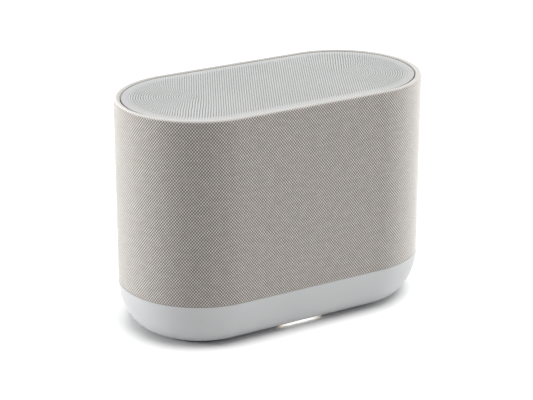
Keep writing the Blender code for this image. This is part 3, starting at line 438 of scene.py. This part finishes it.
def done(piece, finish, node, angle=30.0, body=BODY):
    """Puts a finished piece in the object: origin, shading, finish, body, slot and the node it replaces."""
    bpy.ops.object.select_all(action="DESELECT")
    piece.select_set(True)
    bpy.context.view_layer.objects.active = piece
    bpy.ops.object.transform_apply(location=True, rotation=True, scale=True)
    bpy.ops.object.shade_smooth_by_angle(angle=math.radians(angle))
    piece.data.materials.clear()
    piece.data.materials.append(finish)
    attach(piece, body)
    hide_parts(node)


def racetrack_face(name, inset, height, up=False):
    """A flat racetrack: a plane whose corners are rounded until its ends are half circles."""
    piece = start(name, bpy.ops.mesh.primitive_plane_add, size=1, location=(0, 0, height))
    radius = END_RADIUS - inset
    bpy.ops.transform.resize(value=(2 * (ARC_X + radius), 2 * radius, 1))
    bpy.ops.mesh.bevel(offset=radius, offset_type="OFFSET", segments=ARC_STEPS // 2, affect="VERTICES")
    bpy.ops.mesh.remove_doubles(threshold=1e-6)
    if not up:
        bpy.ops.mesh.flip_normals()
    return piece


def step_in(inward, onward):
    """Draws the selected face in by one distance and on along its normal by another."""
    bpy.ops.mesh.inset(thickness=inward, depth=onward, use_even_offset=True)


def piece_of(name, mesh):
    """The object that a mesh made face by face becomes."""
    data = bpy.data.meshes.new(name)
    mesh.to_mesh(data)
    mesh.free()
    piece = bpy.data.objects.new(name, data)
    bpy.context.scene.collection.objects.link(piece)
    return piece


def rounded_box(name, low, high, radius, axis):
    """A box whose edges along one axis are rounded."""
    low, high = Vector(low), Vector(high)
    piece = start(name, bpy.ops.mesh.primitive_cube_add, size=1, location=(low + high) / 2)
    bpy.ops.transform.resize(value=high - low)
    mesh = bmesh.from_edit_mesh(piece.data)
    for edge in mesh.edges:
        edge.select = abs((edge.verts[0].co - edge.verts[1].co).normalized()[axis]) > 0.9
    bmesh.update_edit_mesh(piece.data)
    bpy.ops.mesh.bevel(offset=radius, segments=CORNER_STEPS, affect="EDGES")
    leave_edit()
    return piece


# --- Fabric sleeve ----------------------------------------------------------------------------------------
def round_the_body(share, inset):
    """The point at a share of the way round the body from the middle of the back, and the way out from it."""
    straight, arc = 2 * ARC_X, math.pi * END_RADIUS
    distance = (share * 2 * (straight + arc) + straight / 2) % (2 * (straight + arc))
    side = 1 if distance < straight + arc else -1
    distance %= straight + arc
    radius = END_RADIUS - inset
    if distance < straight:
        return Vector((side * (ARC_X - distance), side * radius, 0)), Vector((0, side, 0))
    turn = math.pi / 2 + (distance - straight) / END_RADIUS
    out = Vector((side * math.cos(turn), side * math.sin(turn), 0))
    return Vector((-side * ARC_X, 0, 0)) + out * radius, out


def sleeve_path():
    """(inset, height) corners of the sleeve from its hem up the wall, over the rim and down the fold."""
    low, high = cover_high[2] + HEM_GAP, sleeve_high[2]
    rim = inset_of("top_grille") - FOLD_PLAY
    turns = [math.pi / 2 * step / CREST_STEPS for step in range(1, CREST_STEPS + 1)]
    arc = [(1 - math.cos(turn), 1 - math.sin(turn)) for turn in turns]
    path = [(HEM, low), (0.0, low + HEM / 2), (0.0, high - CREST_ROUND)]
    path += [(CREST_ROUND * across, high - CREST_ROUND * down) for across, down in arc]
    path += [(rim - FOLD_ROUND, high)]
    path += [(rim - FOLD_ROUND * across, high - FOLD_ROUND * down) for down, across in arc]
    return path + [(rim, high - FOLD_DEPTH)]


def sleeve_profile():
    """(inset, height, outward and upward tilt) of each crossing up the sleeve, and the length of the way."""
    path = sleeve_path()
    lengths = [0.0]
    for here, after in zip(path, path[1:]):
        lengths.append(lengths[-1] + math.dist(here, after))
    rows = round(lengths[-1] / YARN_RISE)
    points = []
    for row in range(rows + 1):
        goal = lengths[-1] * row / rows
        part = next(i for i in range(1, len(lengths)) if goal <= lengths[i] + 1e-9)
        share = (goal - lengths[part - 1]) / (lengths[part] - lengths[part - 1])
        (inset, height), (inset_after, height_after) = path[part - 1], path[part]
        run, rise = inset_after - inset, height_after - height
        size = math.hypot(run, rise)
        points.append((inset + run * share, height + rise * share, rise / size, run / size))
    return points, lengths[-1]


def fabric_sleeve():
    """One vertex at each crossing of the yarns, raised where the pale yarn floats."""
    profile, flat_height = sleeve_profile()
    mesh = bmesh.new()
    layer = mesh.loops.layers.uv.new("weave")
    rows = []
    for row, (inset, height, outward, upward) in enumerate(profile):
        ring = []
        for column in range(YARN_ROUND):
            place, out = round_the_body(column / YARN_ROUND, inset)
            sunk = YARN_RELIEF * ((row + column) % 2)
            normal = out * outward + Vector((0, 0, upward))
            ring.append(mesh.verts.new(place + Vector((0, 0, height)) - normal * sunk))
        rows.append(ring)
    for row, (lower, upper) in enumerate(zip(rows, rows[1:])):
        for column in range(YARN_ROUND):
            after = (column + 1) % YARN_ROUND
            face = mesh.faces.new((lower[column], lower[after], upper[after], upper[column]))
            corners = ((column, row), (column + 1, row), (column + 1, row + 1), (column, row + 1))
            for loop, (along, up) in zip(face.loops, corners):
                loop[layer].uv = (along + 0.5, up + 0.5)
    mesh.normal_update()
    piece = piece_of("woven_sleeve", mesh)
    done(piece, FINISHES["woven_fabric"], "fabric_sleeve", angle=80.0)


# --- Top panel --------------------------------------------------------------------------------------------
def hole_places():
    """(x, y, size) of the holes, on racetracks inside each other, each ring half a step off the last."""
    edge = END_RADIUS - inset_of("top_grille") - PANEL_BORDER
    across = round(2 * ARC_X / HOLE_PITCH)
    places = []
    for ring in range(HOLE_RINGS + 1):
        radius = edge * ring / HOLE_RINGS
        shift = 0.5 * (ring % 2)
        size = min(1.0, SMALLEST_HOLE + (1 - SMALLEST_HOLE) * (HOLE_RINGS - ring) / FADED_RINGS)
        straight = [-ARC_X + 2 * ARC_X * (i + shift) / across for i in range(across + (ring + 1) % 2)]
        if ring == 0:
            places += [(x, 0.0, size) for x in straight]
            continue
        places += [(x, side * radius, size) for x in straight for side in (1, -1)]
        around = max(1, round(math.pi * radius / HOLE_PITCH))
        for i in range((ring + 1) % 2, around):
            turn = math.pi * (i + shift) / around
            x, y = ARC_X + radius * math.sin(turn), radius * math.cos(turn)
            places += [(x, y, size), (-x, -y, size)]
    return places


def drilled_face(radius, top):
    """A flat racetrack face with blind holes, and the vertices round its edge in order."""
    points = []
    for side in (1, -1):
        for step in range(ARC_STEPS + 1):
            turn = -math.pi / 2 + math.pi * step / ARC_STEPS
            points.append(Vector((side * (ARC_X + radius * math.cos(turn)), side * radius * math.sin(turn))))
    rim = len(points)
    edges = [(i, (i + 1) % rim) for i in range(rim)]
    for x, y, size in hole_places():
        first, reach = len(points), HOLE_RADIUS * size
        for i in range(HOLE_SIDES):
            turn = 2 * math.pi * i / HOLE_SIDES
            points.append(Vector((x + reach * math.cos(turn), y + reach * math.sin(turn))))
            edges.append((first + i, first + (i + 1) % HOLE_SIDES))
    places, _, faces, _, _, _ = delaunay_2d_cdt(points, edges, [], 1, 1e-7)
    mesh = bmesh.new()
    verts = [mesh.verts.new((x, y, top)) for x, y in places]
    for face in faces:
        holes = {-1 if index < rim else (index - rim) // HOLE_SIDES for index in face}
        if holes == {-1} or len(holes) > 1:
            mesh.faces.new([verts[index] for index in face])
    for first in range(rim, len(verts), HOLE_SIDES):
        mouth = verts[first:first + HOLE_SIDES]
        floor = [mesh.verts.new(vert.co - Vector((0, 0, HOLE_DEPTH))) for vert in mouth]
        join_rings(mesh, mouth, floor)
        mesh.faces.new(floor)
    return mesh, verts[:rim]


def join_rings(mesh, ring, after):
    """A wall between two rings of vertices."""
    for i in range(len(ring)):
        j = (i + 1) % len(ring)
        mesh.faces.new((ring[i], after[i], after[j], ring[j]))


def top_panel():
    """The drilled panel: blind holes in a flat face with a small round at its edge and a skirt."""
    low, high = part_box("top_grille")
    radius = END_RADIUS - inset_of("top_grille") + PANEL_EASE
    mesh, ring = drilled_face(radius - PANEL_ROUND, high[2])
    turns = [math.pi / 2 * step / PANEL_ROUND_STEPS for step in range(1, PANEL_ROUND_STEPS + 1)]
    profile = [(PANEL_ROUND * (1 - math.sin(turn)), PANEL_ROUND * (1 - math.cos(turn))) for turn in turns]
    profile += [(0.0, high[2] - low[2]), (PANEL_WALL, high[2] - low[2]), (PANEL_WALL, PANEL_WALL)]
    for back, drop in profile:
        after = []
        for vert in ring:
            centre = Vector((max(-ARC_X, min(ARC_X, vert.co.x)), 0))
            place = centre + (vert.co.xy - centre).normalized() * (radius - back)
            after.append(mesh.verts.new((*place, high[2] - drop)))
        join_rings(mesh, ring, after)
        ring = after
    mesh.faces.new(ring)
    bmesh.ops.recalc_face_normals(mesh, faces=mesh.faces)
    done(piece_of("drilled_panel", mesh), GRILLE_FINISH, "top_grille", angle=40.0)


# --- Base -------------------------------------------------------------------------------------------------
def hull_rounding():
    """(inward, down) steps from the base's upright top to its flat bottom."""
    reach, rise = inset_of("bottom_plate") - FIT, cover_high[2] - SEAM_STRAIGHT - cover_low[2]
    power = 2 / HULL_POWER
    turns = [math.pi / 2 * step / HULL_STEPS for step in range(HULL_STEPS)]
    points = [(reach * (1 - math.cos(turn) ** power), rise * math.sin(turn) ** power) for turn in turns]
    points.append((reach, rise))
    return [(b[0] - a[0], b[1] - a[1]) for a, b in zip(points, points[1:])]


def base_shell():
    """The rounded base: a racetrack drawn down and in, given its wall, and opened for the connector bay."""
    piece = racetrack_face("rounded_base", 0.0, cover_high[2])
    step_in(0.0, SEAM_STRAIGHT)
    for inward, down in hull_rounding():
        step_in(inward, down)
    bpy.ops.mesh.delete(type="ONLY_FACE")
    leave_edit()
    use(piece, "SOLIDIFY", thickness=BASE_WALL, offset=-1.0, use_even_offset=True)
    panel_low, panel_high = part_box("connector_panel")
    low = [place + BAY_WALL for place in panel_low]
    high = (panel_high[0] - BAY_WALL, 2 * END_RADIUS, panel_high[2] - BAY_WALL)
    trim(piece, rounded_box("bay_mouth", low, high, BAY_ROUND, 1))
    done(piece, FINISHES["pale_plastic"], "base_cover", angle=35.0)


def foot():
    """The rubber ring that the speaker stands on, with soft edges."""
    low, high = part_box("foot_ring")
    piece = racetrack_face("rubber_foot", inset_of("foot_ring"), high[2], up=True)
    step_in(FOOT_WIDTH, 0.0)
    bpy.ops.mesh.delete(type="FACE")
    leave_edit()
    use(piece, "SOLIDIFY", thickness=high[2] - low[2], offset=-1.0)
    light_low, light_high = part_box("light_pipe")
    notch_low = (light_low[0] - FIT, -END_RADIUS, -MM)
    notch_high = (light_high[0] + FIT, light_high[1] + FIT, high[2] + FIT)
    trim(piece, rounded_box("light_notch", notch_low, notch_high, NOTCH_CORNER, 2))
    use(piece, "BEVEL", width=FOOT_EDGE, segments=2, limit_method="ANGLE")
    done(piece, FINISHES["rubber"], "foot_ring")


def bore(piece, place, radius, depth, upright=False):
    """Drills a round hole whose mouth's centre is at a place, running forward or upward."""
    turn = (0, 0, 0) if upright else (math.pi / 2, 0, 0)
    mouth = 2 * MM
    middle = Vector(place) + Vector((0, 0, 1) if upright else (0, -1, 0)) * (depth - mouth) / 2
    tool = start("drill", bpy.ops.mesh.primitive_cylinder_add, vertices=DRILL_SIDES, radius=radius,
                 depth=depth + mouth, rotation=turn, location=middle)
    leave_edit()
    trim(piece, tool)


def inlet():
    """The mains inlet: two round lobes and the waist between them, round the two pins."""
    low, high = corners("power_inlet")
    piece = rounded_box("mains_inlet", low, high, INLET_CORNER, 1)
    height, depth = (low.z + high.z) / 2, high.y - low.y - INLET_BACK
    pins = [sum(corners(f"inlet_pin_{side}"), Vector()).x / 2 for side in ("left", "right")]
    for x in pins:
        bore(piece, (x, high.y, height), INLET_LOBE, depth)
    waist_low = (min(pins), high.y - depth, height - INLET_WAIST)
    waist_high = (max(pins), high.y + MM, height + INLET_WAIST)
    trim(piece, rounded_box("inlet_waist", waist_low, waist_high, WAIST_CORNER, 1))
    use(piece, "BEVEL", width=INLET_EDGE, segments=2, limit_method="ANGLE")
    done(piece, FINISHES["dark_plastic"], "power_inlet")


def disc(name, radius, low_y, high_y, x, z):
    """A round block that faces the back."""
    middle = (x, (low_y + high_y) / 2, z)
    piece = start(name, bpy.ops.mesh.primitive_cylinder_add, vertices=DISC_SIDES, radius=radius,
                  depth=high_y - low_y, rotation=(math.pi / 2, 0, 0), location=middle)
    leave_edit()
    return piece


def button():
    """The pairing button: a round cap with a soft edge and a dished face, on its collar."""
    low, high = corners("pairing_button")
    x, z = (low.x + high.x) / 2, (low.z + high.z) / 2
    piece = disc("pairing_cap", BUTTON_RADIUS, low.y, high.y, x, z)
    use(piece, "BEVEL", width=BUTTON_EDGE, segments=3, limit_method="ANGLE")
    dish_place = (x, high.y + DISH_RADIUS - DISH_DEPTH, z)
    dish = start("dish", bpy.ops.mesh.primitive_uv_sphere_add, segments=DISC_SIDES,
                 ring_count=DISC_SIDES // 2, radius=DISH_RADIUS, location=dish_place)
    leave_edit()
    trim(piece, dish)
    trim(piece, disc("collar", (high.x - low.x) / 2, low.y, low.y + BUTTON_COLLAR, x, z), "UNION")
    done(piece, FINISHES["pale_plastic"], "pairing_button", body="pairing_button_body")


def switch():
    """The mute switch: a ribbed thumb piece on the shoe that slides behind the panel."""
    low, high = corners("mute_switch")
    piece = rounded_box("mute_thumb_piece", low + SHOE_REACH, high - SHOE_REACH, THUMB_CORNER, 1)
    trim(piece, rounded_box("mute_shoe", low, (high.x, low.y + SHOE, high.z), SHOE_CORNER, 1), "UNION")
    for step in (-1, 0, 1):
        x = (low.x + high.x) / 2 + step * GROOVE_PITCH
        groove_low, groove_high = (x - GROOVE, high.y - GROOVE, low.z), (x + GROOVE, high.y + MM, high.z)
        trim(piece, rounded_box("groove", groove_low, groove_high, GROOVE / 2, 1))
    done(piece, FINISHES["pale_plastic"], "mute_switch", body="mute_switch_body")


def underside():
    """The flat plate under the base, with a shallow panel for a label and a recess for each screw."""
    low, high = corners("bottom_plate")
    piece = racetrack_face("underside_plate", inset_of("bottom_plate"), low.z)
    bpy.ops.mesh.extrude_region_move(TRANSFORM_OT_translate={"value": (0, 0, high.z - low.z)})
    bpy.ops.mesh.select_all(action="SELECT")
    bpy.ops.mesh.normals_make_consistent(inside=False)
    leave_edit()
    for number in range(1, SCREWS + 1):
        screw_low, screw_high = corners(f"bottom_screw_{number}")
        middle, head = (screw_low + screw_high) / 2, (screw_high.x - screw_low.x) / 2 + FIT
        mouth = (middle.x, middle.y, low.z)
        bore(piece, mouth, head, SCREW_RECESS + screw_low.z - low.z + FIT, upright=True)
        bore(piece, mouth, head / 2 + FIT, 2 * (high.z - low.z), upright=True)
    length, depth = LABEL
    label_low = (-length / 2, -depth / 2, low.z - MM)
    label_high = (length / 2, depth / 2, low.z + LABEL_RECESS)
    trim(piece, rounded_box("label_recess", label_low, label_high, LABEL_ROUND, 2))
    done(piece, FINISHES["dark_plastic"], "bottom_plate")


def light_lens():
    """The status light: a slim lens under the front edge, on the stem that feeds it."""
    low, high = corners("light_pipe")
    lens_z = low.z + LENS_RISE
    piece = start("light_lens", bpy.ops.mesh.primitive_cylinder_add, vertices=LENS_SIDES, radius=0.5, depth=1,
                  rotation=(math.pi / 2, 0, 0), location=(*((low + high) / 2).xy, lens_z))
    bpy.ops.transform.resize(value=(high.x - low.x, high.y - low.y, LENS_HEIGHT))
    leave_edit()
    stem_low, stem_high = (low.x / 2, high.y - LIGHT_STEM, lens_z), (high.x / 2, high.y, high.z)
    trim(piece, rounded_box("light_stem", stem_low, stem_high, STEM_CORNER, 2), "UNION")
    done(piece, FINISHES["diffuser"], "light_pipe")


# --- Studio ------------------------------------------------------------------------------------------------
SKY = (0.95, 0.97, 1.0, 1.0)
SKY_STRENGTH = 0.12
OVERHEAD = {"energy": 4.0, "angle": math.radians(58)}
OVERHEAD_AIM = (-0.06, 0.14, -1)
SOFTBOX = (1.0, 0.5)
SOFTBOXES = {  # place and power
    "left_softbox": ((-2.05, 1.60, 0.35), 80.0),
    "right_softbox": ((2.6, -0.1, 0.35), 24.0),
    "front_softbox": ((2.3, -1.2, 0.35), 26.0),
}
LIGHT_TARGET = (0, 0, 0.12)
TABLE_SIZE = 30
TABLE_DROP = 0.2 * MM
EYE = (-0.8280, -1.3769, 0.7034)
EYE_AIM = (-0.0032, 0.0019, 0.1032)
LENS = 124.94
SENSOR = 36.0
SIGHT = 50.0  # as far as the camera sees


def floor():
    """A pale table that runs out of sight."""
    place = (0, 0, -TABLE_DROP)
    piece = start("studio_floor", bpy.ops.mesh.primitive_plane_add, size=TABLE_SIZE, location=place)
    leave_edit()
    piece.data.materials.append(Finish("studio_white", (0.93, 0.93, 0.93), 0.7).material)


def aimed(name, data, place, target):
    """Puts a light or a camera in the scene, aimed at a target."""
    made = bpy.data.objects.new(name, data)
    bpy.context.scene.collection.objects.link(made)
    made.location = place
    made.rotation_euler = (Vector(target) - Vector(place)).to_track_quat("-Z", "Y").to_euler()
    return made


def studio():
    """An even overhead light, with softboxes behind the left end, at the right end and at the front."""
    floor()
    world = bpy.data.worlds.new("studio")
    world.use_nodes = True
    background = world.node_tree.nodes["Background"]
    background.inputs["Color"].default_value = SKY
    background.inputs["Strength"].default_value = SKY_STRENGTH
    bpy.context.scene.world = world
    overhead = bpy.data.lights.new("overhead", "SUN")
    for key, value in OVERHEAD.items():
        setattr(overhead, key, value)
    aimed("overhead", overhead, (0, 0, 0), OVERHEAD_AIM)
    for name, (place, power) in SOFTBOXES.items():
        softbox = bpy.data.lights.new(name, "AREA")
        softbox.shape = "RECTANGLE"
        softbox.size, softbox.size_y = SOFTBOX
        softbox.energy = power
        aimed(name, softbox, place, LIGHT_TARGET)
    bpy.context.scene.view_settings.view_transform = "Standard"


def camera():
    """A long lens, a little above the speaker and to the left of its front."""
    data = bpy.data.cameras.new("camera")
    data.lens, data.sensor_width = LENS, SENSOR
    data.clip_end = SIGHT
    bpy.context.scene.camera = aimed("camera", data, EYE, EYE_AIM)


def finish_frame():
    """Gives every CAD node that stays its own finish."""
    slots = {part["node"]: part["material_slot"] for part in frame["record"]["subparts"]}
    for node, piece in frame["nodes"].items():
        piece.data.materials.clear()
        piece.data.materials.append(FINISHES[slots[node]])


camera()
studio()
finish_frame()
fabric_sleeve()
top_panel()
base_shell()
foot()
inlet()
button()
switch()
underside()
light_lens()
